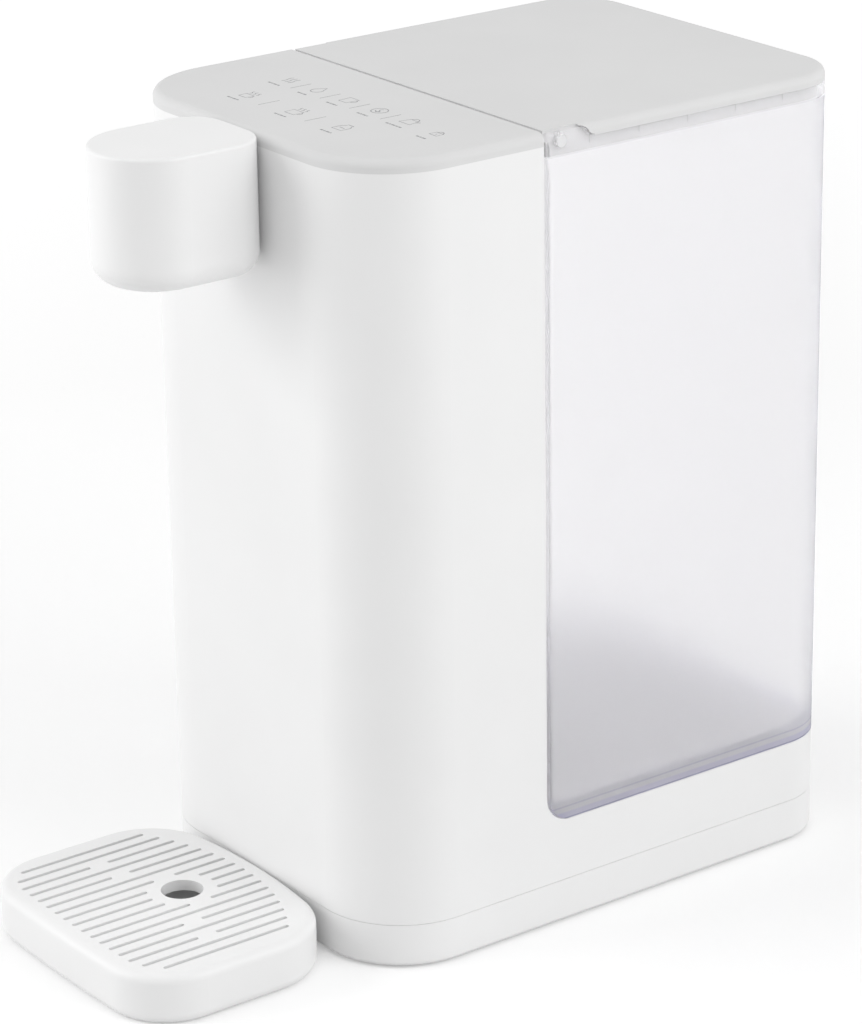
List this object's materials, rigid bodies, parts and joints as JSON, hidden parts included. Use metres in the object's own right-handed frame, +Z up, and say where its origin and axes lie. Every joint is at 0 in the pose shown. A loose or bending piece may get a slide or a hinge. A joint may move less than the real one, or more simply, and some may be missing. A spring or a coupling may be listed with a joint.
{
  "type": "hot water dispenser",
  "caption": "Counter-top hot water dispenser: a column with a spout and a touch panel, a clear lift-off tank with a hinged lid behind, and a slotted drip tray in front.",
  "frame": {"origin": "on the worktop, under the middle of the whole object with its tray", "axes": "+Z up, front with the spout and the tray towards -Y, +X to the right seen from the front"},
  "size_m": [0.153, 0.303, 0.3008],
  "materials": {
    "white_shell": "satin",
    "grey_panel": "satin",
    "grey_plastic": "satin",
    "clear_tank": "gloss",
    "inner_plastic": "satin",
    "dark_plastic": "satin",
    "circuit_board": "satin",
    "steel": "brushed",
    "black_rubber": "matte",
    "silicone": "matte"
  },
  "bodies": {
    "body": {"base_cover": "white_shell", "rubber_feet": "black_rubber", "base_screws": "steel", "main_housing": "white_shell", "cord_gland": "black_rubber", "control_panel": "grey_panel", "touch_board": "circuit_board", "spout_shell": "white_shell", "spout_screws": "steel", "spout_insert": "grey_plastic", "outlet_nozzle": "grey_plastic", "pump": "dark_plastic", "pump_cushion": "black_rubber", "flow_heater": "steel", "heater_caps": "dark_plastic", "heater_clamps": "steel", "thermal_cutout": "dark_plastic", "temperature_sensor": "steel", "inlet_hose": "silicone", "riser_hose": "silicone", "outlet_hose": "silicone", "power_board": "circuit_board", "board_spacers": "inner_plastic", "docking_socket": "inner_plastic", "docking_seal": "silicone"},
    "tank": {"water_tank": "clear_tank", "tank_filter": "inner_plastic", "valve_spring": "steel"},
    "valve": {"valve_poppet": "inner_plastic", "poppet_seal": "silicone"},
    "lid": {"tank_lid": "grey_panel", "hinge_pins": "grey_panel"},
    "tray": {"drip_tray": "white_shell"},
    "grille": {"drip_grille": "white_shell"}
  },
  "joints": [
    {"name": "tank_lift", "type": "slide", "parent": "body", "child": "tank", "axis": [0, 0, 1], "range_m": [0, 0.26]},
    {"name": "valve_close", "type": "slide", "parent": "tank", "child": "valve", "axis": [0, 0, 1], "range_m": [-0.003, 0], "deforming": ["valve_spring"]},
    {"name": "lid_hinge", "type": "hinge", "parent": "tank", "child": "lid", "pos_m": [0, 0.019, 0.2966], "axis": [1, 0, 0], "range_deg": [0, 100]},
    {"name": "tray_pull", "type": "slide", "parent": "body", "child": "tray", "axis": [0, -1, 0], "range_m": [0, 0.12]},
    {"name": "grille_lift", "type": "slide", "parent": "tray", "child": "grille", "axis": [0, 0, 1], "range_m": [0, 0.05]}
  ],
  "couplings": [
    {"joint": "valve_close", "follows": "tank_lift", "ratio": -0.0113}
  ]
}
